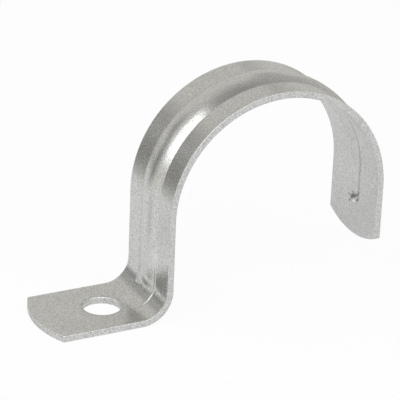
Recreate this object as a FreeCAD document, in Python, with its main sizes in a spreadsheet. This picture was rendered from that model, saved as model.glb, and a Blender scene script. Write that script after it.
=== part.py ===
import FreeCAD, Part
import Sketcher
import math
import os

# Conduit strap with one screw hole, pressed from a single strip of zinc-plated steel.
# Frame: the origin is the centre of the screw hole on the mounting face, X runs from the
# foot towards the saddle, Y runs along the conduit and Z points away from the wall.

doc = FreeCAD.newDocument("ConduitStrap")
V = FreeCAD.Vector

# ---------------------------------------------------------------- driving dimensions, mm
driving = [
    ("strip_width", 25.0, "width of the strip, along the conduit"),
    ("thickness", 2.0, "thickness of the strip"),
    ("saddle_radius", 30.8, "inside radius of the saddle"),
    ("axis_rise", 29.5, "conduit axis above the mounting face"),
    ("axis_reach", 46.3, "screw hole to conduit axis, along the face"),
    ("bend_radius", 7.0, "radius of the bend on its hollow side"),
    ("foot_reach", 16.6, "screw hole to the corners of the foot"),
    ("tail_drop", 15.6, "conduit axis down to the corners of the tail"),
    ("end_radius", 27.0, "arc across each end of the strip"),
    ("hole_radius", 5.25, "screw hole"),
    ("hole_rim", 0.35, "rounding of the hole's upper rim"),
    ("rib_reach", 5.3, "half width of the rib, crease arcs included"),
    ("rib_rise", 0.9, "height of the rib on the outer face"),
    ("crease_radius", 0.6, "hollow arc along each side of the rib"),
    ("groove_reach", 4.7, "half width of the groove, lip arcs included"),
    ("groove_depth", 0.85, "depth of the groove on the inner face"),
    ("lip_radius", 5.0, "rounding of the groove's lips"),
    ("wane_width", 0.8, "share of the rib's width left at the nib"),
    ("wane_rise", 0.6, "share of the rib's height left at the nib"),
    ("nib_drop", 8.0, "conduit axis down to the nib"),
    ("nib_reach", 1.6, "nib centre to its four ray tips, across and along"),
    ("nib_waist", 1.1, "nib centre to the hollows between its rays"),
    ("nib_rise", 0.8, "height of the nib over the inner face"),
    ("dent_reach", 1.1, "half width of the punch mark behind the nib"),
    ("dent_depth", 0.7, "depth of that punch mark"),
    ("edge_roll", 0.7, "rounding that shearing leaves on the inner edges"),
    ("corner_round", 0.8, "rounding of the strip's four corners"),
]
sheet = doc.addObject("Spreadsheet::Sheet", "Sizes")
for row, (alias, number, note) in enumerate(driving, start=1):
    sheet.set("A%d" % row, note)
    sheet.set("B%d" % row, str(number))
    sheet.setAlias("B%d" % row, alias)
doc.recompute()

# expressions that several features share
bendStart = "(Sizes.axis_reach - Sizes.saddle_radius - Sizes.thickness - Sizes.bend_radius)"
bendTop = "(Sizes.bend_radius + Sizes.thickness)"
legX = "(Sizes.axis_reach - Sizes.saddle_radius)"
tailX = "(Sizes.axis_reach + Sizes.saddle_radius)"
nibZ = "(Sizes.axis_rise - Sizes.nib_drop)"
endBulge = "(Sizes.end_radius - sqrt(Sizes.end_radius ^ 2 - Sizes.strip_width ^ 2 / 4))"

body = doc.addObject("PartDesign::Body", "Strap")
body.Label = "conduit_strap"
originPlane = {plane.Role: plane for plane in body.Origin.OriginFeatures}

# the Sketcher's numbers for the points of a line or an arc, and for its axes and origin
start, end, centre = 1, 2, 3
acrossAxis, upAxis = -1, -2
origin = (-1, start)


# ---------------------------------------------------------------- sketch helpers
def value(expression):
    return float(sheet.evalExpression(expression.replace("Sizes.", "")))


def newSketch(name, role, turn=0, **offset):
    """A sketch on an origin plane, turned in it by degrees and moved by x, y, z expressions."""
    sketch = body.newObject("Sketcher::SketchObject", name)
    sketch.AttachmentSupport = [(originPlane[role], "")]
    sketch.MapMode = "FlatFace"
    sketch.AttachmentOffset = FreeCAD.Placement(V(), FreeCAD.Rotation(V(0, 0, 1), turn))
    for axis, expression in offset.items():
        sketch.setExpression("AttachmentOffset.Base." + axis, expression)
    return sketch


def dimension(sketch, kind, target, expression):
    index = sketch.addConstraint(Sketcher.Constraint(kind, *target, value(expression)))
    sketch.setExpression("Constraints[%d]" % index, expression)


def relate(sketch, *constraints):
    for constraint in constraints:
        sketch.addConstraint(Sketcher.Constraint(*constraint))


def line(sketch, here, there):
    return sketch.addGeometry(Part.LineSegment(V(*here, 0), V(*there, 0)), False)


def arc(sketch, middle, radius, first, last):
    """An arc about the middle, anticlockwise from the first angle to the last."""
    circle = Part.Circle(V(*middle, 0), V(0, 0, 1), radius)
    return sketch.addGeometry(Part.ArcOfCircle(circle, first, last), False)


def loop(sketch, corners):
    """A closed polygon; returns the number of its first side."""
    sides = [line(sketch, *pair) for pair in zip(corners, corners[1:] + corners[:1])]
    for side, following in zip(sides, sides[1:] + sides[:1]):
        relate(sketch, ("Coincident", side, end, following, start))
    return sides[0]


def place(sketch, geometry, x, y):
    """Fixes a side's first point at two expressions, each with a sign of its own."""
    for kind, (sign, expression) in (("DistanceX", x), ("DistanceY", y)):
        points = (*origin, geometry, start) if sign > 0 else (geometry, start, *origin)
        dimension(sketch, kind, points, expression)


# ---------------------------------------------------------------- sections of the strip
# Sketch x runs across the strip, and sketch y from the inner face (0) to the outer face.
def wave(sketch, base, reach, rise, hollow):
    """A hollow arc, a crest and a hollow arc, rising over the line y = base."""
    w, h, r, y = (value(item) for item in (reach, rise, hollow, base))
    crest = (w * w + h * h) / (2 * h) - r
    slope = math.asin(w / (crest + r))
    down, up = -math.pi / 2, math.pi / 2
    left = arc(sketch, (-w, y + r), r, down, down + slope)
    top = arc(sketch, (0, y + h - crest), crest, up - slope, up + slope)
    right = arc(sketch, (w, y + r), r, down - slope, down)
    relate(
        sketch,
        ("Tangent", left, end, top, end),
        ("Tangent", top, start, right, start),
        ("Equal", left, right),
    )
    dimension(sketch, "Radius", (right,), hollow)
    dimension(sketch, "Radius", (top,), "(%s ^ 2 + %s ^ 2) / (2 * %s) - %s" % (reach, rise, rise, hollow))
    dimension(sketch, "DistanceX", (left, centre, *origin), reach)
    dimension(sketch, "DistanceX", (*origin, right, centre), reach)
    return left, right


def ribbedSection(name, turn, width, rise, **offset):
    """The strip with its rib and groove; width and rise are the shares of their full size."""
    sketch = newSketch(name, "XY_Plane", turn, **offset)
    rib, ribRise = "(Sizes.rib_reach * %s)" % width, "(Sizes.rib_rise * %s)" % rise
    groove, grooveDepth = "(Sizes.groove_reach * %s)" % width, "(Sizes.groove_depth * %s)" % rise
    half, thick = value("Sizes.strip_width / 2"), value("Sizes.thickness")
    lipLeft, lipRight = wave(sketch, "0", groove, grooveDepth, "Sizes.lip_radius")
    creaseLeft, creaseRight = wave(sketch, "Sizes.thickness", rib, ribRise, "Sizes.crease_radius")
    innerLeft = line(sketch, (-half, 0), (-value(groove), 0))
    innerRight = line(sketch, (value(groove), 0), (half, 0))
    sideRight = line(sketch, (half, 0), (half, thick))
    outerRight = line(sketch, (half, thick), (value(rib), thick))
    outerLeft = line(sketch, (-value(rib), thick), (-half, thick))
    sideLeft = line(sketch, (-half, thick), (-half, 0))
    relate(
        sketch,
        ("Tangent", innerLeft, end, lipLeft, start),
        ("Tangent", lipRight, end, innerRight, start),
        ("Tangent", outerRight, end, creaseRight, end),
        ("Tangent", creaseLeft, start, outerLeft, start),
        ("Coincident", innerRight, end, sideRight, start),
        ("Coincident", sideRight, end, outerRight, start),
        ("Coincident", outerLeft, end, sideLeft, start),
        ("Coincident", sideLeft, end, innerLeft, start),
        ("Horizontal", innerLeft),
        ("Horizontal", innerRight),
        ("Horizontal", outerRight),
        ("Horizontal", outerLeft),
        ("Vertical", sideRight),
        ("Vertical", sideLeft),
        ("Equal", sideRight, sideLeft),
        ("PointOnObject", innerLeft, start, acrossAxis),
        ("Symmetric", innerLeft, start, innerRight, end, upAxis),
    )
    dimension(sketch, "DistanceX", (innerLeft, start, innerRight, end), "Sizes.strip_width")
    dimension(sketch, "DistanceY", (sideRight, start, sideRight, end), "Sizes.thickness")
    return sketch


def plainSection(name, role, turn, **offset):
    """The flat strip, its faces divided like a ribbed section's so that the two can be joined."""
    sketch = newSketch(name, role, turn, **offset)
    edge, thick = "Sizes.strip_width / 2", "Sizes.thickness"
    inner = [edge, "Sizes.groove_reach", "Sizes.groove_reach / 2"]
    outer = [edge, "Sizes.rib_reach", "Sizes.rib_reach * 0.9"]
    corners = [(-1, x, "0") for x in inner] + [(1, x, "0") for x in reversed(inner)]
    corners += [(1, x, thick) for x in outer] + [(-1, x, thick) for x in reversed(outer)]
    first = loop(sketch, [(sign * value(x), value(y)) for sign, x, y in corners])
    rightSide, rightTop, leftSide = first + 5, first + 6, first + 11
    for side, (sign, x, y) in enumerate(corners, start=first):
        relate(sketch, ("Vertical" if side in (rightSide, leftSide) else "Horizontal", side))
        if side not in (rightTop, leftSide):
            points = (*origin, side, start) if sign > 0 else (side, start, *origin)
            dimension(sketch, "DistanceX", points, x)
    relate(sketch, ("PointOnObject", first, start, acrossAxis))
    dimension(sketch, "DistanceY", (rightSide, start, rightSide, end), thick)
    return sketch


onLeg, onTail = 90, -90     # turns that point a section's outer face to -X or to +X
footSection = plainSection("FootSection", "YZ_Plane", 0, z=bendStart)
legSection = ribbedSection("LegSection", onLeg, 1, 1, x=legX, z=bendTop)
tailSection = ribbedSection("TailSection", onTail, 1, 1, x=tailX, z="Sizes.axis_rise")
nibSection = ribbedSection("NibSection", onTail, "Sizes.wane_width", "Sizes.wane_rise", x=tailX, z=nibZ)
endSection = plainSection("EndSection", "XY_Plane", onTail, x=tailX, z=nibZ + " - Sizes.nib_reach")

# ---------------------------------------------------------------- routes along the inner face
bendRoute = newSketch("BendRoute", "XZ_Plane")
arc(bendRoute, (value(bendStart), value(bendTop)), value(bendTop), -math.pi / 2, 0)
relate(
    bendRoute,
    ("PointOnObject", 0, start, acrossAxis),
    ("Vertical", 0, start, 0, centre),
    ("Horizontal", 0, centre, 0, end),
)
dimension(bendRoute, "Radius", (0,), bendTop)
dimension(bendRoute, "DistanceX", (*origin, 0, start), bendStart)

saddleRoute = newSketch("SaddleRoute", "XZ_Plane")
axisPoint = (value("Sizes.axis_reach"), value("Sizes.axis_rise"))
leg = line(saddleRoute, (value(legX), value(bendTop)), (value(legX), axisPoint[1]))
crown = arc(saddleRoute, axisPoint, value("Sizes.saddle_radius"), 0, math.pi)
relate(
    saddleRoute,
    ("Tangent", leg, end, crown, end),
    ("Vertical", leg),
    ("Horizontal", crown, start, crown, end),
)
dimension(saddleRoute, "Radius", (crown,), "Sizes.saddle_radius")
dimension(saddleRoute, "DistanceX", (*origin, crown, centre), "Sizes.axis_reach")
dimension(saddleRoute, "DistanceY", (*origin, crown, centre), "Sizes.axis_rise")
dimension(saddleRoute, "DistanceY", (*origin, leg, start), bendTop)


# ---------------------------------------------------------------- features
def finish(feature, grows):
    """Builds a feature, and makes sure that it adds or takes material as it should."""
    before = feature.BaseFeature.Shape.Volume if feature.BaseFeature else 0
    doc.recompute()
    gain = feature.Shape.Volume - before
    if not feature.isValid() or not feature.Shape.isValid() or (gain > 0) != grows:
        raise RuntimeError("%s did not build" % feature.Label)
    return feature


def pad(name, profile, length):
    """Extrudes the profile against its sketch's normal."""
    feature = body.newObject("PartDesign::Pad", name)
    feature.Profile = profile
    feature.Reversed = True
    feature.setExpression("Length", length)
    return finish(feature, True)


def pipe(name, profile, route, sections=()):
    feature = body.newObject("PartDesign::AdditivePipe", name)
    feature.Profile = profile
    feature.Spine = (route, ["Edge%d" % (k + 1) for k in range(route.GeometryCount)])
    if sections:
        feature.Transformation = "Multisection"
        feature.Sections = sections
    return finish(feature, True)


def loft(kind, name, profiles):
    feature = body.newObject("PartDesign::%sLoft" % kind, name)
    feature.Profile = profiles[0]
    feature.Sections = profiles[1:]
    feature.Ruled = True
    return finish(feature, kind == "Additive")


def pocket(name, profile):
    """Cuts the profile's outline through the strip, which its sketch touches or lies in."""
    feature = body.newObject("PartDesign::Pocket", name)
    feature.Profile = profile
    feature.Midplane = True
    feature.setExpression("Length", "Sizes.thickness * 4")
    return finish(feature, False)


def fillet(name, radius, chosen):
    """Rounds the edges whose midpoint and end points the test chooses."""
    base = body.Tip
    names = []
    for number, edge in enumerate(base.Shape.Edges, start=1):
        middle = edge.valueAt((edge.FirstParameter + edge.LastParameter) / 2)
        if all(chosen(point) for point in [middle] + [vertex.Point for vertex in edge.Vertexes]):
            names.append("Edge%d" % number)
    feature = body.newObject("PartDesign::Fillet", name)
    feature.Base = (base, names)
    feature.setExpression("Radius", radius)
    return finish(feature, False)


# ---------------------------------------------------------------- the bent strip
doc.recompute()
pad("Foot", footSection, "%s + Sizes.foot_reach + %s" % (bendStart, endBulge))
pipe("Bend", footSection, bendRoute, [legSection])
pipe("LegAndSaddle", legSection, saddleRoute)
loft("Additive", "RibEnd", [tailSection, nibSection, endSection])
pad("Tail", endSection, "Sizes.tail_drop - Sizes.nib_drop - Sizes.nib_reach + %s" % endBulge)


# ---------------------------------------------------------------- ends cut to an arc
def endTrim(name, role, turn, near, **offset):
    """What an end loses: the outline beyond an arc whose ends are at y = near."""
    sketch = newSketch(name, role, turn, **offset)
    half, radius, low = value("Sizes.strip_width / 2"), value("Sizes.end_radius"), value(near)
    spread, up = math.asin(half / radius), math.pi / 2
    rim = arc(sketch, (0, low - radius * math.cos(spread)), radius, up - spread, up + spread)
    left = line(sketch, (-half, low), (-half, low + half))
    far = line(sketch, (-half, low + half), (half, low + half))
    right = line(sketch, (half, low + half), (half, low))
    relate(
        sketch,
        ("Coincident", rim, end, left, start),
        ("Coincident", left, end, far, start),
        ("Coincident", far, end, right, start),
        ("Coincident", right, end, rim, start),
        ("PointOnObject", rim, centre, upAxis),
        ("Vertical", left),
        ("Horizontal", far),
        ("Vertical", right),
    )
    dimension(sketch, "Radius", (rim,), "Sizes.end_radius")
    dimension(sketch, "DistanceX", (left, start, *origin), "Sizes.strip_width / 2")
    dimension(sketch, "DistanceX", (*origin, right, end), "Sizes.strip_width / 2")
    dimension(sketch, "DistanceY", (*origin, rim, start), near)
    dimension(sketch, "DistanceY", (left, start, left, end), "Sizes.strip_width / 2")
    return sketch


pocket("FootArc", endTrim("FootTrim", "XY_Plane", 90, "Sizes.foot_reach"))
pocket("TailArc", endTrim("TailTrim", "YZ_Plane", 180, "Sizes.tail_drop - Sizes.axis_rise", z=tailX))

# ---------------------------------------------------------------- screw hole
holeSketch = newSketch("HoleSketch", "XY_Plane")
holeSketch.addGeometry(Part.Circle(V(), V(0, 0, 1), value("Sizes.hole_radius")), False)
relate(holeSketch, ("Coincident", 0, centre, *origin))
dimension(holeSketch, "Radius", (0,), "Sizes.hole_radius")
pocket("ScrewHole", holeSketch)

# ---------------------------------------------------------------- sheared edges
halfWidth, thickness = value("Sizes.strip_width / 2"), value("Sizes.thickness")
footEdge, tailEdge = -value("Sizes.foot_reach"), value("Sizes.axis_rise - Sizes.tail_drop")
slack = 0.01


def atCorner(point):
    """On one of the short edges through the sheet where an end's arc meets the strip's side."""
    onFoot = abs(point.x - footEdge) < slack
    onTail = abs(point.z - tailEdge) < slack
    return abs(abs(point.y) - halfWidth) < slack and (onFoot or onTail)


def onInnerFace(point):
    """On the face that lies on the wall and on the conduit, rib and groove apart."""
    x0, z0, radius = value(bendStart), value(bendTop), value(bendTop)
    axisX, axisZ = value("Sizes.axis_reach"), value("Sizes.axis_rise")
    if point.x < x0:
        gap = point.z
    elif point.z < z0 and point.x < value(legX) + slack:
        gap = math.hypot(point.x - x0, point.z - z0) - radius
    elif point.z < axisZ:
        gap = abs(point.x - axisX) - value("Sizes.saddle_radius")
    else:
        gap = math.hypot(point.x - axisX, point.z - axisZ) - value("Sizes.saddle_radius")
    return abs(gap) < slack


def onRim(point):
    """On the strip's outline: its two long sides, and the arcs of its two ends."""
    onFootArc = point.x < footEdge + 1
    onTailArc = point.z < tailEdge + 1 and point.x > value("Sizes.axis_reach")
    return abs(abs(point.y) - halfWidth) < slack or onFootArc or onTailArc


def onHoleRim(point):
    onTop = abs(point.z - thickness) < slack
    return onTop and abs(math.hypot(point.x, point.y) - value("Sizes.hole_radius")) < slack


fillet("CornerRounds", "Sizes.corner_round", atCorner)
fillet("EdgeRoll", "Sizes.edge_roll", lambda point: onInnerFace(point) and onRim(point))
fillet("HoleRim", "Sizes.hole_rim", onHoleRim)


# ---------------------------------------------------------------- nib on the tail
def star(name, scale, depth):
    """A four-rayed outline around the nib's axis, at a depth in the sheet."""
    sketch = newSketch(name, "YZ_Plane", 0, y=nibZ, z="%s + %s" % (tailX, depth))
    tip, waist = "Sizes.nib_reach * %s" % scale, "Sizes.nib_waist * %s" % scale
    corners = [
        ((1, waist), (1, "0")), ((1, tip), (1, tip)), ((1, "0"), (1, waist)), ((-1, tip), (1, tip)),
        ((-1, waist), (1, "0")), ((-1, tip), (-1, tip)), ((1, "0"), (-1, waist)), ((1, tip), (-1, tip)),
    ]
    loop(sketch, [(sx * value(x), sy * value(y)) for (sx, x), (sy, y) in corners])
    for side, (x, y) in enumerate(corners):
        place(sketch, side, x, y)
    return sketch


def square(name, half, depth):
    sketch = newSketch(name, "YZ_Plane", 0, y=nibZ, z="%s + %s" % (tailX, depth))
    corners = [(1, 1), (-1, 1), (-1, -1), (1, -1)]
    loop(sketch, [(sx * value(half), sy * value(half)) for sx, sy in corners])
    for side, (sx, sy) in enumerate(corners):
        place(sketch, side, (sx, half), (sy, half))
    return sketch


nibRoot = star("NibRoot", "1.4", "Sizes.thickness * 0.4")
nibTip = star("NibTip", "0.15", "-Sizes.nib_rise")
loft("Additive", "Nib", [nibRoot, nibTip])

rearFace = "Sizes.thickness + Sizes.rib_rise * Sizes.wane_rise"
dentMouth = square("DentMouth", "Sizes.dent_reach", rearFace)
dentFloor = square("DentFloor", "Sizes.dent_reach * 0.2", rearFace + " - Sizes.dent_depth")
loft("Subtractive", "Dent", [dentMouth, dentFloor])

# ---------------------------------------------------------------- check and write
doc.recompute()
for item in doc.Objects:
    if "Invalid" in item.State or "Error" in item.State:
        raise RuntimeError("%s is not valid" % item.Label)
solid = body.Shape
if solid.isNull() or not solid.isValid() or len(solid.Solids) != 1:
    raise RuntimeError("the strap is not one valid solid")
os.makedirs("parts", exist_ok=True)
solid.exportStep("parts/%s.step" % body.Label)
print(body.Label, "volume %.0f mm3" % solid.Volume, "faces", len(solid.Faces))
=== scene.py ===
import math

import bmesh
import bpy
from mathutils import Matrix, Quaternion, Vector


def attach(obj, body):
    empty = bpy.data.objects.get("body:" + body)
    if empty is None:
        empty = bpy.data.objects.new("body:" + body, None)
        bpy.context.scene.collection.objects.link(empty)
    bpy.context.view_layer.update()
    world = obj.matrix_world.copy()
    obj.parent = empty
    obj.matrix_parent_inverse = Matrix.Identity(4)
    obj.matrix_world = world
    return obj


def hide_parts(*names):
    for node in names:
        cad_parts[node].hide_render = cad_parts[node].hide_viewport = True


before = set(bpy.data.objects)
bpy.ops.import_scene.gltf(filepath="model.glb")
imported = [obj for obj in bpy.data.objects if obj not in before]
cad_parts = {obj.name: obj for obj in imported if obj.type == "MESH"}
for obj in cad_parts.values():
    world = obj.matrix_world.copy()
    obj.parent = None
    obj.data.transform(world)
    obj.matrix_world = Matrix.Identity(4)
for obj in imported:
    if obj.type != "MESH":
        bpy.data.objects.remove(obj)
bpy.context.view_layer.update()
mm = 0.001
setMiddle = Vector((0.03, 0, 0.03))  # in metres, for what stands round the strap

# The strap is made the way the real one is. A blank is cut from strip steel and its edges roll
# over under the shear, then the rib and the nib are pressed in, and then it is bent and curled
# round the conduit. The blank lies flat with the screw hole at zero: x runs along the strip,
# y across it, and z from the inner face (0) to the outer one. Everything up to the end is in mm.
blank = {
    "width": 25.0,
    "thickness": 2.0,
    "footCorner": -16.6,
    "holeRadius": 5.25,
    "endArc": 27.0,
    "cornerRound": 0.4,
    "innerRoll": 0.7,  # across, on the side that the shear pressed down
    "rollDepth": 0.35,
    "outerBurr": 0.1,  # the side that it left sharp
    "holeRoll": 0.2,  # the punch's side of the hole
    "holeBreak": 0.3,  # the side that it broke out of
}
ruling = {  # lines ruled across the blank in each stretch, and each way over the nib
    "foot": 20,
    "bend": 30,
    "leg": 16,
    "saddle": 110,
    "tail": 24,
    "nib": 48,
}
curl = {
    "bendStart": 6.5,  # end of the flat foot
    "bendRadius": 9.0,  # underside of the bend
    "leg": 20.5,
    "saddleRadius": 30.8,  # inner face
    "axisX": 46.3,
    "axisZ": 29.5,
    "tail": 15.6,  # down to its corners
}
rib = {
    "reach": 5.3,
    "rise": 0.888,
    "crease": 0.45,  # hollow arc at each foot
    "lowRise": 0.62,  # share of its height where it comes out of the bend
    "fullAt": 38.0,  # place along the blank from which it is full height
    "creaseStart": 9.2,  # its front crease runs on down into the bend
    "ridge": 0.07,  # height and width of the sharp line along that crease
    "ridgeWidth": 0.28,
    "noseStart": 13.7,  # its back half stops short, in a nose with a small shelf below it
    "noseFrom": 14.3,  # the back half rises from here
    "noseLength": 5.0,
    "noseShelf": 0.18,
    "noseBulge": 0.22,
    "bulgeFrom": 3.6,  # start of the nose to the middle of its bulge
    "bulgeWidth": 1.4,
    "grooveReach": 4.7,
    "grooveDepth": 0.7,
    "grooveStep": 0.45,  # share of that depth in its front wall
    "grooveScore": 0.09,  # the line that the tool left along that wall
    "scoreWidth": 0.45,
    "lip": 5.0,
    "waneWidth": 0.6,  # share of its width and height that is left at the nib
    "waneRise": 0.6,
    "runOut": 1.6,
}
nib = {
    "drop": 8.0,  # below the conduit's axis
    "reach": 2.3,
    "rise": 0.8,
    "crack": 0.1,
    "off": 0.45,  # from the middle of the strip towards its front edge
    "lag": 0.2,
    "slant": 0.4,
    "squash": 1.15,
    "dentReach": 1.1,
    "dentDepth": 0.7,
}

bendMiddle = curl["bendRadius"] - blank["thickness"] / 2
saddleMiddle = curl["saddleRadius"] + blank["thickness"] / 2
legStart = curl["bendStart"] + bendMiddle * math.pi / 2
saddleStart = legStart + curl["leg"]
tailStart = saddleStart + saddleMiddle * math.pi
tailCorner = tailStart + curl["tail"]
nibPlace = tailStart + nib["drop"]
narrowFrom, narrowTo = saddleStart + 76, nibPlace - 7.5  # where the groove grows narrow


def smooth(low, high, value):
    share = min(max((value - low) / (high - low), 0.0), 1.0)
    return share * share * (3 - 2 * share)


def everything(bm):
    return bm.verts[:] + bm.edges[:] + bm.faces[:]


def cutBlank(bm):
    # half of the outline is spun and joined up, then mirrored over the middle of the strip
    half = blank["width"] / 2
    sweep = math.asin(half / blank["endArc"])
    inset = blank["endArc"] * math.cos(sweep)

    def spinLine(centre, start, angle, steps):
        first = bm.verts.new((start, 0, 0))
        spun = bmesh.ops.spin(bm, geom=[first], cent=(centre, 0, 0), axis=(0, 0, 1), angle=angle,
                              steps=steps, use_merge=False, use_duplicate=False)
        return first, [v for v in spun["geom_last"] if isinstance(v, bmesh.types.BMVert)][0]

    footCentre, tailCentre = blank["footCorner"] + inset, tailCorner - inset
    footTip, footSide = spinLine(footCentre, footCentre - blank["endArc"], -sweep, 24)
    tailTip, tailSide = spinLine(tailCentre, tailCentre + blank["endArc"], sweep, 24)
    holeRight, holeLeft = spinLine(0, blank["holeRadius"], math.pi, 40)
    for pair in ((footTip, holeLeft), (holeRight, tailTip), (footSide, tailSide)):
        bm.edges.new(pair)
    bmesh.ops.contextual_create(bm, geom=bm.edges[:])
    bmesh.ops.bevel(bm, geom=[footSide, tailSide], offset=blank["cornerRound"], segments=5,
                    profile=0.5, affect="VERTICES", material=-1)
    bmesh.ops.mirror(bm, geom=everything(bm), axis="Y", merge_dist=1e-4)
    bmesh.ops.remove_doubles(bm, verts=bm.verts[:], dist=1e-4)
    bmesh.ops.recalc_face_normals(bm, faces=bm.faces[:])
    raised = bmesh.ops.extrude_face_region(bm, geom=bm.faces[:])["geom"]
    bmesh.ops.translate(bm, verts=[v for v in raised if isinstance(v, bmesh.types.BMVert)],
                        vec=(0, 0, blank["thickness"]))
    bmesh.ops.recalc_face_normals(bm, faces=bm.faces[:])


def rollEdges(bm):
    # the shear rounds the side that it enters and leaves a fine burr on the other one
    def rimEdges(outer, hole):
        height = blank["thickness"] if outer else 0.0
        found = []
        for edge in bm.edges:
            middle = (edge.verts[0].co + edge.verts[1].co) / 2
            atHole = math.hypot(middle.x, middle.y) < blank["holeRadius"] + 0.2
            tilts = sorted(abs(face.normal.z) for face in edge.link_faces)
            if abs(middle.z - height) < 1e-4 and tilts[0] < 0.1 < tilts[-1] and atHole == hole:
                found.append(edge)
        return found

    for outer, hole, size, segments in (
        (False, False, blank["innerRoll"], 5),
        (True, False, blank["outerBurr"], 2),
        (True, True, blank["holeRoll"], 5),
        (False, True, blank["holeBreak"], 2),
    ):
        bmesh.ops.bevel(bm, geom=rimEdges(outer, hole), offset=size, segments=segments, profile=0.5,
                        affect="EDGES", clamp_overlap=True, material=-1)
    for vert in bm.verts:
        if vert.co.z < blank["innerRoll"] + 1e-4:
            vert.co.z *= blank["rollDepth"] / blank["innerRoll"]


def ruleBlank(bm):
    # lines ruled over the blank, close together where the sheet will bend or rise
    def steps(first, last, count):
        return [first + (last - first) * (i + 0.5) / count for i in range(count)]

    along = steps(-19.6, curl["bendStart"], ruling["foot"])
    along += steps(curl["bendStart"], legStart, ruling["bend"])
    along += steps(legStart, saddleStart, ruling["leg"])
    along += steps(saddleStart, tailStart, ruling["saddle"])
    along += steps(tailStart, tailCorner + 3.0, ruling["tail"])
    along += [curl["bendStart"], legStart, saddleStart, tailStart]
    across = [0, 0.7, 1.4, 2.1, 2.8, 3.4, 3.9, 4.3, 4.6, 4.8, 4.95, 5.05, 5.15, 5.25, 5.35, 5.5,
              5.8, 6.3, 7.0, 7.8, 8.6, 9.4, 10.2, 10.9, 11.4]
    for place in along:
        bmesh.ops.bisect_plane(bm, geom=everything(bm), dist=1e-5, plane_co=(place, 0, 0),
                               plane_no=(1, 0, 0))
    across = {side * place for place in across for side in (-1, 1)}
    across |= {-2.2 - 0.2 * i for i in range(12)}  # for the line that the tool scored
    for place in sorted(across):
        bmesh.ops.bisect_plane(bm, geom=everything(bm), dist=1e-5, plane_co=(0, place, 0),
                               plane_no=(0, 1, 0))
    reach = nib["reach"] + 0.9
    for direction in (Vector((1, 0, 0)), Vector((0, 1, 0))):
        centre = Vector((nibPlace, 0, 0))
        for place in steps(-reach, reach, ruling["nib"]):
            patch = [f for f in bm.faces if abs(f.calc_center_median().x - nibPlace) < reach
                     and abs(f.calc_center_median().y) < reach]
            edges = {e for f in patch for e in f.edges}
            verts = {v for f in patch for v in f.verts}
            bmesh.ops.bisect_plane(bm, geom=patch + list(edges) + list(verts), dist=1e-5,
                                   plane_co=centre + direction * place, plane_no=direction)


def waveHeight(across, reach, rise, hollow):
    # a hollow arc, a crest and a hollow arc, as a press tool leaves them
    crest = (reach * reach + rise * rise) / (2 * rise) - hollow
    slope = math.asin(reach / (crest + hollow))
    away = abs(across)
    if away < crest * math.sin(slope):
        return rise - crest + math.sqrt(crest * crest - away * away)
    if away < reach:
        return hollow - math.sqrt(hollow * hollow - (reach - away) ** 2)
    return 0.0


def ribRise(place, across):
    # the outer face: front crease first, then the nose of the back half, then full height
    noseStart = rib["noseStart"]
    wane = min(max((place - tailStart) / nib["drop"], 0.0), 1.0)
    width = 1 - (1 - rib["waneWidth"]) * wane
    end = 1 - (1 - rib["waneRise"]) * wane
    end *= 1 - smooth(nibPlace, nibPlace + rib["runOut"], place)
    back = smooth(-1.2, 1.0, across)
    nose = smooth(rib["noseFrom"], rib["noseFrom"] + rib["noseLength"], place)
    front = smooth(noseStart - 2, noseStart + 5.5, place)
    low = rib["lowRise"] * (back * nose + (1 - back) * front)
    start = low + (1 - rib["lowRise"]) * smooth(noseStart + 2, rib["fullAt"], place)
    bulge = (place - noseStart - rib["bulgeFrom"]) / rib["bulgeWidth"]
    start += rib["noseBulge"] * math.exp(-bulge ** 2)
    lift = start * waveHeight(across, rib["reach"] * width, rib["rise"], rib["crease"])
    ridge = math.exp(-((across + rib["reach"] * width - 0.35) / rib["ridgeWidth"]) ** 2)
    ridge *= smooth(rib["creaseStart"] - 0.8, rib["creaseStart"] + 1.5, place) * rib["ridge"]
    ridge *= 1 - 0.8 * smooth(noseStart + 2.5, noseStart + 5, place)
    if place < legStart + 8:
        shelf = smooth(noseStart + 0.1, noseStart + 1.4, place)
        shelf *= 1 - smooth(noseStart + 1.7, noseStart + 4.5, place)
        shelf *= smooth(1.2, 3.2, across) * (1 - smooth(4.8, 5.35, across))
        lift += rib["noseShelf"] * shelf
    return (lift + ridge) * end


def grooveDepth(place, across):
    # the inner face: one steep wall along the front and a soft trough behind it
    wane = smooth(narrowFrom, narrowTo, place)
    width = 1 - (1 - rib["waneWidth"]) * wane
    start = smooth(curl["bendStart"], legStart, place)
    end = 1 - (1 - rib["waneRise"]) * wane
    end *= 1 - smooth(nibPlace - 1, nibPlace + 0.4, place)
    reach = rib["grooveReach"] * width
    soft = waveHeight(across, reach, rib["grooveDepth"] * (1 - rib["grooveStep"]), rib["lip"])
    wall = smooth(-reach - 0.1, -reach + 0.5, across) * (1 - smooth(-1.0, reach, across))
    score = rib["grooveScore"] * math.exp(-((across + reach - 0.2) / rib["scoreWidth"]) ** 2)
    return (soft + rib["grooveDepth"] * rib["grooveStep"] * wall + score) * start * end


def pressRib(bm):
    for vert in bm.verts:
        place, across, depth = vert.co
        if depth > blank["thickness"] / 2:
            vert.co.z += ribRise(place, across)
        else:
            vert.co.z += grooveDepth(place, across)


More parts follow.
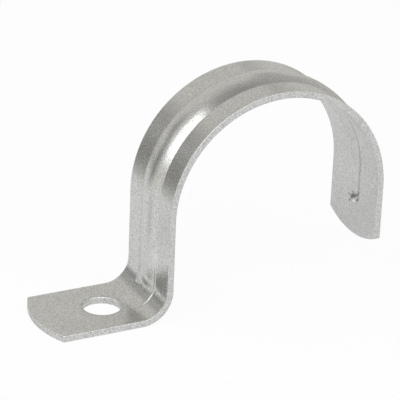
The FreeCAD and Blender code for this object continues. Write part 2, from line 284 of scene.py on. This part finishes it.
def pressNib(bm):
    # a punch from outside leaves a dent there and bursts up a cracked pyramid on the inner face
    for vert in bm.verts:
        across, depth = vert.co.y + nib["off"], vert.co.z
        place = vert.co.x - nibPlace - nib["lag"] - nib["slant"] * across
        if math.hypot(place, across) > nib["reach"] + 1.1:
            continue
        if depth < blank["thickness"] / 2 + 0.3:
            away = max(abs(place), abs(across) * nib["squash"]) / nib["reach"]
            radius = math.hypot(place, across)
            off = abs(abs(place) - abs(across)) / 1.41
            crack = math.exp(-(off / 0.18) ** 2) * smooth(0.8, 1.5, radius)
            crack *= 1 - smooth(2.0, 2.8, radius)
            vert.co.z -= nib["rise"] * max(0.0, 1 - away) - nib["crack"] * crack
        else:
            away = max(abs(place), abs(across)) / nib["dentReach"]
            vert.co.z -= nib["dentDepth"] * (1 - smooth(0.15, 1.0, away))


def curlStrip(bm):
    # foot, bend, leg, saddle and tail, in that order along the strip
    for vert in bm.verts:
        place, across, depth = vert.co
        if place < curl["bendStart"]:
            vert.co = (place, across, depth)
        elif place < legStart:
            turn = (place - curl["bendStart"]) / bendMiddle
            radius = curl["bendRadius"] - depth
            vert.co = (curl["bendStart"] + radius * math.sin(turn), across,
                       curl["bendRadius"] - radius * math.cos(turn))
        elif place < saddleStart:
            vert.co = (curl["axisX"] - curl["saddleRadius"] - depth, across,
                       curl["bendRadius"] + place - legStart)
        elif place < tailStart:
            turn = (place - saddleStart) / saddleMiddle
            radius = curl["saddleRadius"] + depth
            vert.co = (curl["axisX"] - radius * math.cos(turn), across,
                       curl["axisZ"] + radius * math.sin(turn))
        else:
            vert.co = (curl["axisX"] + curl["saddleRadius"] + depth, across,
                       curl["axisZ"] - (place - tailStart))


def makeStrap(zinc):
    bm = bmesh.new()
    cutBlank(bm)
    rollEdges(bm)
    ruleBlank(bm)
    flat = bm.verts.layers.float_vector.new("flat")
    sheared = bm.verts.layers.float.new("sheared")
    bm.normal_update()
    for vert in bm.verts:
        vert[flat] = vert.co  # where each point lay on the blank, for the patterns that follow it
        atHole = 1 - smooth(blank["holeRadius"] + 0.3, blank["holeRadius"] + 1.1, vert.co.xy.length)
        vert[sheared] = max(smooth(0.45, 0.9, vert.normal.xy.length), atHole)
    print("blank cut and ruled:", len(bm.faces), "faces")
    pressRib(bm)
    pressNib(bm)
    curlStrip(bm)
    bmesh.ops.scale(bm, vec=(mm, mm, mm), verts=bm.verts[:])
    bmesh.ops.recalc_face_normals(bm, faces=bm.faces[:])
    for face in bm.faces:
        face.smooth = True
    mesh = bpy.data.meshes.new("strap")
    bm.to_mesh(mesh)
    bm.free()
    strap = bpy.data.objects.new("strap", mesh)
    bpy.context.scene.collection.objects.link(strap)
    mesh.materials.append(zinc)
    weights = strap.modifiers.new("faceWeights", "WEIGHTED_NORMAL")
    weights.mode = "FACE_AREA_WITH_ANGLE"
    weights.weight = 50
    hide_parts("conduit_strap")
    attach(strap, "root")
    print("strap pressed and curled:", len(mesh.polygons), "faces")
    return strap


def newMaterial(name):
    material = bpy.data.materials.new(name)
    material.use_nodes = True
    nodes = material.node_tree.nodes
    nodes.clear()
    return material, nodes, material.node_tree.links


def makeGrainGroup():
    # crystals of one size: a tone round one that multiplies a colour, and a height for the bump
    group = bpy.data.node_groups.new("metalGrain", "ShaderNodeTree")
    group.interface.new_socket("Vector", in_out="INPUT", socket_type="NodeSocketVector")
    size = group.interface.new_socket("Per Unit", in_out="INPUT", socket_type="NodeSocketFloat")
    size.default_value = 1000.0
    group.interface.new_socket("Contrast", in_out="INPUT", socket_type="NodeSocketFloat")
    group.interface.new_socket("Tone", in_out="OUTPUT", socket_type="NodeSocketFloat")
    group.interface.new_socket("Height", in_out="OUTPUT", socket_type="NodeSocketFloat")
    nodes, links = group.nodes, group.links
    given = nodes.new("NodeGroupInput")
    result = nodes.new("NodeGroupOutput")
    fine = nodes.new("ShaderNodeTexNoise")
    fine.inputs["Detail"].default_value = 2.0
    fine.inputs["Roughness"].default_value = 0.6
    cells = nodes.new("ShaderNodeTexVoronoi")
    cells.feature = "F1"
    both = nodes.new("ShaderNodeMath")
    both.operation = "MULTIPLY_ADD"
    both.inputs[1].default_value = -0.28
    centred = nodes.new("ShaderNodeMath")
    centred.operation = "SUBTRACT"
    centred.inputs[1].default_value = 0.365
    tone = nodes.new("ShaderNodeMath")
    tone.operation = "MULTIPLY_ADD"
    tone.inputs[2].default_value = 1.0
    for texture in (fine, cells):
        links.new(given.outputs["Vector"], texture.inputs["Vector"])
        links.new(given.outputs["Per Unit"], texture.inputs["Scale"])
    links.new(cells.outputs["Distance"], both.inputs[0])
    links.new(fine.outputs["Fac"], both.inputs[2])
    links.new(both.outputs["Value"], centred.inputs[0])
    links.new(centred.outputs["Value"], tone.inputs[0])
    links.new(given.outputs["Contrast"], tone.inputs[1])
    links.new(tone.outputs["Value"], result.inputs["Tone"])
    links.new(both.outputs["Value"], result.inputs["Height"])
    return group


zincPlate = {
    "colour": (0.655, 0.655, 0.64, 1),
    "roughness": 0.23,
    "crystal": 0.38,  # mm, the grain of the plating
    "crystalTone": 1.15,
    "crystalBump": 0.032,  # mm
    "cloud": 4.5,  # mm, broad dull and bright patches
    "cloudTone": 0.14,
    "rollTone": 0.12,  # fine lines that the rolling mill left along the strip
    # painted shade: dark lines along the rib's creases
    "creasePaintedShade": 0.36,
    # painted shade along the scored line inside the groove
    "scorePaintedShade": 0.3,
    # painted shade on the nib's flaps, and a painted highlight below it
    "burstPaintedShade": 0.6,
    "burstPaintedHighlight": 0.45,
}
shearedWall = {
    "colour": (0.6, 0.6, 0.59, 1),
    "roughness": 0.4,
    "speck": 0.5,  # mm
    "speckTone": 1.15,
    "tearBump": 0.04,  # mm
}


def makeZinc():
    material, nodes, links = newMaterial("zincPlate")

    def calc(operation, *values):
        node = nodes.new("ShaderNodeMath")
        node.operation = operation
        for i, value in enumerate(values):
            if isinstance(value, bpy.types.NodeSocket):
                links.new(value, node.inputs[i])
            else:
                node.inputs[i].default_value = value
        return node.outputs["Value"]

    def span(value, low, high, first, last):
        node = nodes.new("ShaderNodeMapRange")
        node.interpolation_type = "SMOOTHSTEP"
        links.new(value, node.inputs["Value"])
        ends = {"From Min": low, "From Max": high, "To Min": first, "To Max": last}
        for name, level in ends.items():
            node.inputs[name].default_value = level
        return node.outputs["Result"]

    def grain(vector, perUnit, contrast):
        node = nodes.new("ShaderNodeGroup")
        node.node_tree = grainGroup
        links.new(vector, node.inputs["Vector"])
        node.inputs["Per Unit"].default_value = perUnit
        node.inputs["Contrast"].default_value = contrast
        return node.outputs["Tone"], node.outputs["Height"]

    def stretched(vector, scale):
        node = nodes.new("ShaderNodeMapping")
        node.inputs["Scale"].default_value = scale
        links.new(vector, node.inputs["Vector"])
        return node.outputs["Vector"]

    def noiseOf(vector, scale, detail):
        node = nodes.new("ShaderNodeTexNoise")
        node.inputs["Scale"].default_value = scale
        node.inputs["Detail"].default_value = detail
        links.new(vector, node.inputs["Vector"])
        return node.outputs["Fac"]

    def painted(colour, tone):
        node = nodes.new("ShaderNodeVectorMath")
        node.operation = "SCALE"
        node.inputs[0].default_value = colour[:3]
        links.new(tone, node.inputs["Scale"])
        return node.outputs["Vector"]

    grainGroup = makeGrainGroup()
    place = nodes.new("ShaderNodeTexCoord").outputs["Object"]
    flat = nodes.new("ShaderNodeAttribute")
    flat.attribute_name = "flat"
    cut = nodes.new("ShaderNodeAttribute")
    cut.attribute_name = "sheared"
    onBlank = nodes.new("ShaderNodeSeparateXYZ")
    links.new(flat.outputs["Vector"], onBlank.inputs["Vector"])

    # the plated faces: crystals, clouds and rolling lines
    tone, height = grain(place, 1000 / zincPlate["crystal"], zincPlate["crystalTone"])
    cloud = noiseOf(place, 1000 / zincPlate["cloud"], 3.0)
    cloudTone = calc("MULTIPLY_ADD", calc("SUBTRACT", cloud, 0.5), zincPlate["cloudTone"], 1.0)
    rolled = noiseOf(stretched(flat.outputs["Vector"], (0.10, 3.4, 1.0)), 1.0, 3.0)
    rollTone = calc("MULTIPLY_ADD", calc("SUBTRACT", rolled, 0.5), zincPlate["rollTone"], 1.0)
    # painted shade as dark lines along the rib's creased sides and along the scored line inside,
    # and painted shade and highlight at the burst nib
    along, across, depth = (onBlank.outputs[axis] for axis in ("X", "Y", "Z"))
    outside = span(depth, 0.9, 1.1, 0.0, 1.0)

    def lineAt(centre, width):
        off = calc("ABSOLUTE", calc("SUBTRACT", across, centre))
        return span(off, 0.0, width, 1.0, 0.0)

    # painted shade along the rib's front crease in the bend and the leg, and fainter along its back
    # crease
    crease = calc("MULTIPLY", lineAt(-4.65, 0.45), span(along, 15.0, 17.0, 0.0, 1.0))
    crease = calc("MULTIPLY", crease, span(along, 19.0, 28.0, 1.0, 0.15))
    backCreaseShade = calc("MULTIPLY", lineAt(5.4, 0.5), span(along, legStart - 4, legStart, 0.0, 0.4))
    backCreaseShade = calc("MULTIPLY", backCreaseShade, span(along, 24.0, 32.0, 1.0, 0.15))
    crease = calc("MULTIPLY", calc("ADD", crease, backCreaseShade), outside)
    creaseShadeTone = calc("MULTIPLY_ADD", crease, -zincPlate["creasePaintedShade"], 1.0)
    # painted shade along the scored line on the groove's front side, moving in as the groove
    # narrows
    wander = span(along, narrowFrom, narrowTo, 0.3 - rib["grooveReach"],
                  0.3 - rib["grooveReach"] * rib["waneWidth"])
    score = span(along, saddleStart + 60, saddleStart + 84, 0.2, 1.0)
    score = calc("MULTIPLY", lineAt(wander, 1.3), score)
    score = calc("MULTIPLY", score, span(along, nibPlace - 2.0, nibPlace, 1.0, 0.0))
    score = calc("MULTIPLY", score, calc("SUBTRACT", 1.0, outside))
    # the nib burst slantwise: painted shade on the torn flaps above it and on a horn at each side,
    # and a painted highlight on the metal below it
    burstX = calc("MULTIPLY_ADD", across, -nib["slant"], calc("SUBTRACT", along, nibPlace))
    burstY = calc("ABSOLUTE", calc("ADD", across, 0.43))

    def spot(x, y, wide, high):
        offX = calc("DIVIDE", calc("SUBTRACT", burstX, x), high)
        offY = calc("DIVIDE", calc("SUBTRACT", burstY, y), wide)
        off = calc("MULTIPLY_ADD", offX, offX, calc("MULTIPLY", offY, offY))
        return span(off, 0.2, 1.6, 1.0, 0.0)

    hornLine = calc("ABSOLUTE", calc("MULTIPLY_ADD", burstY, 0.45, burstX))
    hornShade = calc("MULTIPLY", span(hornLine, 0.05, 0.4, 0.8, 0.0), spot(-1.1, 1.9, 1.3, 1.1))
    flapShade = calc("MAXIMUM", spot(-0.5, 0.2, 1.5, 0.7), hornShade)
    flapShade = calc("MAXIMUM", flapShade, spot(0.8, 2.1, 0.45, 0.45))
    # painted highlight below the nib, with painted shade on the flaps and horns
    burstPaintedLight = calc("MULTIPLY_ADD", spot(0.9, 0.95, 0.55, 0.55), -zincPlate["burstPaintedHighlight"],
                 calc("MULTIPLY", flapShade, zincPlate["burstPaintedShade"]))
    burstPaintedLight = calc("MULTIPLY", burstPaintedLight, calc("SUBTRACT", 1.0, outside))
    # all the painted shade and highlight together
    paintedShadeAndHighlight = calc("MULTIPLY_ADD", score, -zincPlate["scorePaintedShade"], creaseShadeTone)
    paintedShadeAndHighlight = calc("SUBTRACT", paintedShadeAndHighlight, burstPaintedLight)
    plateTone = calc("MULTIPLY", calc("MULTIPLY", tone, cloudTone),
                     calc("MULTIPLY", rollTone, paintedShadeAndHighlight))
    plateRough = calc("MULTIPLY_ADD", calc("SUBTRACT", 1.0, plateTone), 0.3, zincPlate["roughness"])

    # the sheared walls: torn specks and short lines through the thickness
    wallTone, wallHeight = grain(place, 1000 / shearedWall["speck"], shearedWall["speckTone"])
    torn = noiseOf(stretched(flat.outputs["Vector"], (4.5, 4.5, 0.9)), 1.0, 2.0)
    tornTone = calc("MULTIPLY_ADD", calc("SUBTRACT", torn, 0.5), 0.35, 1.0)
    wallTone = calc("MULTIPLY", wallTone, tornTone)
    wallRough = calc("MULTIPLY_ADD", calc("SUBTRACT", wallTone, 1.0), 0.3, shearedWall["roughness"])

    colour = nodes.new("ShaderNodeMix")
    colour.data_type = "RGBA"
    links.new(cut.outputs["Fac"], colour.inputs["Factor"])
    links.new(painted(zincPlate["colour"], plateTone), colour.inputs["A"])
    links.new(painted(shearedWall["colour"], wallTone), colour.inputs["B"])
    rough = nodes.new("ShaderNodeMix")
    links.new(cut.outputs["Fac"], rough.inputs["Factor"])
    links.new(plateRough, rough.inputs["A"])
    links.new(wallRough, rough.inputs["B"])
    relief = nodes.new("ShaderNodeMix")
    links.new(cut.outputs["Fac"], relief.inputs["Factor"])
    links.new(calc("MULTIPLY", height, zincPlate["crystalBump"]), relief.inputs["A"])
    wallRelief = calc("MULTIPLY", calc("ADD", wallHeight, torn), shearedWall["tearBump"])
    links.new(wallRelief, relief.inputs["B"])
    bump = nodes.new("ShaderNodeBump")
    bump.inputs["Strength"].default_value = 1.0
    bump.inputs["Distance"].default_value = mm
    links.new(relief.outputs["Result"], bump.inputs["Height"])

    shader = nodes.new("ShaderNodeBsdfPrincipled")
    shader.inputs["Metallic"].default_value = 1.0
    shader.inputs["Specular Tint"].default_value = (0.92, 0.92, 0.92, 1)
    links.new(colour.outputs["Result"], shader.inputs["Base Color"])
    links.new(rough.outputs["Result"], shader.inputs["Roughness"])
    links.new(bump.outputs["Normal"], shader.inputs["Normal"])
    output = nodes.new("ShaderNodeOutputMaterial")
    links.new(shader.outputs["BSDF"], output.inputs["Surface"])
    print("zinc mixed")
    return material


stage = {
    "floorColour": (0.9, 0.9, 0.9, 1),
    "floorReach": 3.0,
    "floorDrop": 0.00005,  # below the strap's underside
    "fadeFrom": 0.6,  # the floor fades into the room's white
    "fadeTo": 2.0,
    "whiteShare": 0.92,  # how far the floor goes to plain white to the eye
    "metalShare": 0.25,  # and in the metal
    "cardColour": (1, 0.985, 0.945, 1),
    "roomColour": (0.9, 0.9, 0.9, 1),
    "roomStrength": 0.48,
}


def makeFloor():
    material, nodes, links = newMaterial("paleFloor")
    output = nodes.new("ShaderNodeOutputMaterial")
    paint = nodes.new("ShaderNodeBsdfDiffuse")
    paint.inputs["Color"].default_value = stage["floorColour"]
    white = nodes.new("ShaderNodeEmission")
    rays = nodes.new("ShaderNodeLightPath")
    metal = nodes.new("ShaderNodeMath")
    metal.operation = "MAXIMUM"
    links.new(rays.outputs["Is Glossy Ray"], metal.inputs[0])
    links.new(rays.outputs["Is Transmission Ray"], metal.inputs[1])
    inMetal = nodes.new("ShaderNodeMath")
    inMetal.operation = "MULTIPLY"
    inMetal.inputs[1].default_value = stage["metalShare"]
    links.new(metal.outputs["Value"], inMetal.inputs[0])
    seen = nodes.new("ShaderNodeMath")
    seen.operation = "MULTIPLY_ADD"
    seen.inputs[1].default_value = stage["whiteShare"]
    links.new(rays.outputs["Is Camera Ray"], seen.inputs[0])
    links.new(inMetal.outputs["Value"], seen.inputs[2])
    lift = nodes.new("ShaderNodeMixShader")
    links.new(seen.outputs["Value"], lift.inputs["Fac"])
    links.new(paint.outputs["BSDF"], lift.inputs[1])
    links.new(white.outputs["Emission"], lift.inputs[2])
    clear = nodes.new("ShaderNodeBsdfTransparent")
    fade = nodes.new("ShaderNodeMixShader")
    place = nodes.new("ShaderNodeTexCoord")
    away = nodes.new("ShaderNodeVectorMath")
    away.operation = "LENGTH"
    edge = nodes.new("ShaderNodeMapRange")
    edge.interpolation_type = "SMOOTHSTEP"
    edge.inputs["From Min"].default_value = stage["fadeFrom"]
    edge.inputs["From Max"].default_value = stage["fadeTo"]
    side = nodes.new("ShaderNodeNewGeometry")
    most = nodes.new("ShaderNodeMath")
    most.operation = "MAXIMUM"
    links.new(place.outputs["Object"], away.inputs[0])
    links.new(away.outputs["Value"], edge.inputs["Value"])
    links.new(edge.outputs["Result"], most.inputs[0])
    links.new(side.outputs["Backfacing"], most.inputs[1])
    links.new(most.outputs["Value"], fade.inputs["Fac"])
    links.new(lift.outputs["Shader"], fade.inputs[1])
    links.new(clear.outputs["BSDF"], fade.inputs[2])
    links.new(fade.outputs["Shader"], output.inputs["Surface"])
    bm = bmesh.new()
    bmesh.ops.create_circle(bm, cap_ends=True, radius=stage["floorReach"], segments=64)
    bmesh.ops.translate(bm, verts=bm.verts[:], vec=(0, 0, -stage["floorDrop"]))
    mesh = bpy.data.meshes.new("floor")
    bm.to_mesh(mesh)
    bm.free()
    mesh.materials.append(material)
    floor = bpy.data.objects.new("floor", mesh)
    bpy.context.scene.collection.objects.link(floor)
    print("floor laid")


# reflection cards round the back of the set, seen only in the metal: name, from and to in degrees
# round the strap, and the line that is spun, each point as distance and height in metres and tone
cards = [
    ("slotCard", 119, 134, [
        (0.14, 0.001, 0.6), (0.3, 0.001, 0.25), (1, 0.001, 0.17), (1, 0.3, 0.16)]),
    # shadeCard is painted shade lying on the floor beside the strap, seen only in the metal
    ("shadeCard", 138, 144, [
        (0.05, 0.001, 0.65), (0.06, 0.001, 0.45), (0.1, 0.001, 0.45), (0.13, 0.001, 0.65)]),
    ("slotTop", 109, 126, [
        (0.98, 0.26, 0.19), (0.98, 0.4, 0.3), (0.98, 0.55, 0.47), (0.98, 0.75, 0.64),
        (0.98, 1.2, 0.5)]),
    ("slotSide", 126, 136, [
        (0.98, 0.26, 0.3), (0.98, 0.34, 0.66), (0.98, 0.75, 0.66), (0.98, 1.2, 0.5)]),
    ("rightTop", 49, 64, [
        (0.97, 0.22, 0.84), (0.97, 0.36, 0.64), (0.97, 0.47, 0.52), (0.97, 1.2, 0.46)]),
    ("rightSide", 12, 49, [
        (0.97, 0.001, 0.56), (0.97, 0.22, 0.6), (0.97, 0.36, 0.58), (0.97, 0.47, 0.52),
        (0.97, 1.2, 0.46)]),
    ("leftCard", 135, 200, [
        (0.22, 0.001, 0.85), (1, 0.001, 0.75), (1, 0.2, 0.7)]),
    ("backCard", 20, 117, [
        (0.22, 0.001, 0.35), (0.45, 0.001, 0.68), (1, 0.001, 0.7), (1, 0.27, 0.72),
        (1, 0.5, 0.71), (1, 0.75, 0.71), (1, 0.95, 0.58), (1, 1.2, 0.47)]),
    ("ceilingCard", 10, 160, [
        (1, 1.2, 0.47), (0.6, 1.35, 0.34), (0.05, 1.4, 0.3)]),
]


def makeCards():
    material, nodes, links = newMaterial("cardGlow")
    output = nodes.new("ShaderNodeOutputMaterial")
    glow = nodes.new("ShaderNodeEmission")
    glow.inputs["Color"].default_value = stage["cardColour"]
    tones = nodes.new("ShaderNodeAttribute")
    tones.attribute_name = "tone"
    links.new(tones.outputs["Fac"], glow.inputs["Strength"])
    links.new(glow.outputs["Emission"], output.inputs["Surface"])
    for name, first, last, profile in cards:
        bm = bmesh.new()
        tone = bm.verts.layers.float.new("tone")
        turn = math.radians(first)
        verts = []
        for away, height, level in profile:
            x, y = setMiddle.x + away * math.cos(turn), away * math.sin(turn)
            verts.append(bm.verts.new((x, y, height)))
            verts[-1][tone] = level
        edges = [bm.edges.new(pair) for pair in zip(verts, verts[1:])]
        bmesh.ops.spin(bm, geom=verts + edges, cent=(setMiddle.x, 0, 0), axis=(0, 0, 1),
                       angle=math.radians(last - first), steps=16, use_merge=False,
                       use_duplicate=False)
        mesh = bpy.data.meshes.new(name)
        bm.to_mesh(mesh)
        bm.free()
        mesh.materials.append(material)
        card = bpy.data.objects.new(name, mesh)
        bpy.context.scene.collection.objects.link(card)
        card.visible_camera = False
        card.visible_diffuse = False
        card.visible_shadow = False
    print("reflection cards hung:", len(cards))


# lamp name, degrees round the strap, degrees up, lean, distance, size across and up, watts
lamps = [
    ("keyBox", 153, 36.5, 16, 0.9, 0.45, 0.68, 1.2),
    ("frontBox", -102, 49, 0, 1.2, 2.0, 1.3, 13),
]


def makeLamps():
    for name, turn, up, lean, distance, wide, high, power in lamps:
        light = bpy.data.lights.new(name, "AREA")
        light.shape = "RECTANGLE"
        light.size, light.size_y = wide, high
        light.energy = power
        lamp = bpy.data.objects.new(name, light)
        bpy.context.scene.collection.objects.link(lamp)
        turn, up = math.radians(turn), math.radians(up)
        away = Vector((math.cos(turn) * math.cos(up), math.sin(turn) * math.cos(up), math.sin(up)))
        lamp.location = setMiddle + away * distance
        lamp.rotation_mode = "QUATERNION"
        tilt = Quaternion((0, 0, 1), math.radians(lean))
        lamp.rotation_quaternion = away.to_track_quat("Z", "Y") @ tilt
        lamp.visible_camera = False
    world = bpy.data.worlds.new("paleRoom")
    bpy.context.scene.world = world
    world.use_nodes = True
    nodes, links = world.node_tree.nodes, world.node_tree.links
    nodes.clear()
    output = nodes.new("ShaderNodeOutputWorld")
    room = nodes.new("ShaderNodeBackground")
    room.inputs["Color"].default_value = stage["roomColour"]
    room.inputs["Strength"].default_value = stage["roomStrength"]
    seen = nodes.new("ShaderNodeBackground")
    seen.inputs["Color"].default_value = (1, 1, 1, 1)
    seen.inputs["Strength"].default_value = 1.0
    rays = nodes.new("ShaderNodeLightPath")
    direct = nodes.new("ShaderNodeMath")
    direct.operation = "MAXIMUM"
    direct.use_clamp = True
    anySeen = nodes.new("ShaderNodeMath")
    anySeen.operation = "MAXIMUM"
    mix = nodes.new("ShaderNodeMixShader")
    links.new(rays.outputs["Is Camera Ray"], direct.inputs[0])
    links.new(rays.outputs["Is Glossy Ray"], direct.inputs[1])
    links.new(direct.outputs["Value"], anySeen.inputs[0])
    links.new(rays.outputs["Is Transmission Ray"], anySeen.inputs[1])
    links.new(anySeen.outputs["Value"], mix.inputs["Fac"])
    links.new(room.outputs["Background"], mix.inputs[1])
    links.new(seen.outputs["Background"], mix.inputs[2])
    links.new(mix.outputs["Shader"], output.inputs["Surface"])
    print("lamps hung:", len(lamps))


shot = {
    "aim": (0.02842, -0.00041, 0.02898),
    "azimuth": -27.385,
    "elevation": 24.267,
    "roll": 2.359,
    "distance": 0.62896,
    "lens": 208.35,
}


def makeCamera():
    data = bpy.data.cameras.new("camera")
    data.sensor_width = 36
    data.lens = shot["lens"]
    data.clip_start, data.clip_end = 0.01, 50
    camera = bpy.data.objects.new("camera", data)
    bpy.context.scene.collection.objects.link(camera)
    turn, up = math.radians(shot["azimuth"]), math.radians(shot["elevation"])
    back = Vector((math.sin(turn) * math.cos(up), -math.cos(turn) * math.cos(up), math.sin(up)))
    camera.location = Vector(shot["aim"]) + back * shot["distance"]
    camera.rotation_mode = "QUATERNION"
    lean = Quaternion((0, 0, 1), math.radians(shot["roll"]))
    camera.rotation_quaternion = (-back).to_track_quat("-Z", "Y") @ lean
    bpy.context.scene.camera = camera
    print("camera set")


bpy.context.scene.view_settings.view_transform = "Standard"
makeStrap(makeZinc())
makeFloor()
makeCards()
makeLamps()
makeCamera()
